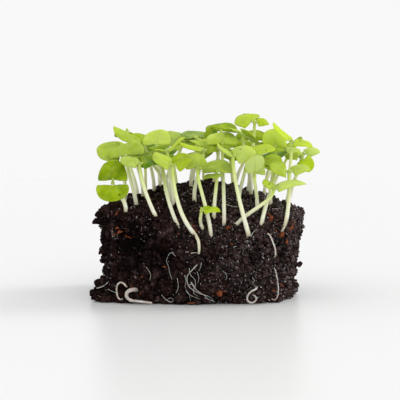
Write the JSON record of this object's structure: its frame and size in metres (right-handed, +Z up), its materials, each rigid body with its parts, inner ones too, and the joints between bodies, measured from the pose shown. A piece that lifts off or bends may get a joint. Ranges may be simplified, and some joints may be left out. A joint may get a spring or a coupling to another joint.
{
  "type": "microgreens soil block",
  "caption": "Basil microgreens with half-moon seed leaves, growing in a square block of dark potting soil with loose roots on its front.",
  "frame": {"origin": "middle of the soil block's flat underside, where it rests", "axes": "+Z up out of the soil, the front with the loose roots towards -Y, +X to the right of the front"},
  "size_m": [0.0857, 0.0805, 0.069],
  "materials": {
    "potting_soil": "dark, damp and crumbly, with bark bits and fine glints",
    "seedling_green": "soft satin leaf on a pale, slightly clear stem",
    "root_white": "matt, pale and slightly clear"
  },
  "bodies": {
    "root": {"root_curl_left": "root_white", "root_curl_right": "root_white", "root_loop": "root_white", "root_strand": "root_white", "root_thread": "root_white", "seedling_01": "seedling_green", "seedling_02": "seedling_green", "seedling_03": "seedling_green", "seedling_04": "seedling_green", "seedling_05": "seedling_green", "seedling_06": "seedling_green", "seedling_07": "seedling_green", "seedling_08": "seedling_green", "seedling_09": "seedling_green", "seedling_10": "seedling_green", "seedling_11": "seedling_green", "seedling_12": "seedling_green", "seedling_13": "seedling_green", "seedling_14": "seedling_green", "seedling_15": "seedling_green", "seedling_16": "seedling_green", "seedling_17": "seedling_green", "seedling_18": "seedling_green", "seedling_19": "seedling_green", "seedling_20": "seedling_green", "seedling_21": "seedling_green", "seedling_22": "seedling_green", "seedling_23": "seedling_green", "seedling_24": "seedling_green", "seedling_25": "seedling_green", "seedling_26": "seedling_green", "seedling_27": "seedling_green", "seedling_28": "seedling_green", "seedling_29": "seedling_green", "seedling_30": "seedling_green", "seedling_31": "seedling_green", "seedling_32": "seedling_green", "seedling_33": "seedling_green", "seedling_34": "seedling_green", "seedling_35": "seedling_green", "seedling_36": "seedling_green", "seedling_37": "seedling_green", "seedling_38": "seedling_green", "seedling_39": "seedling_green", "seedling_40": "seedling_green", "seedling_41": "seedling_green", "seedling_42": "seedling_green", "seedling_43": "seedling_green", "seedling_44": "seedling_green", "seedling_45": "seedling_green", "soil_block": "potting_soil"}
  },
  "joints": []
}
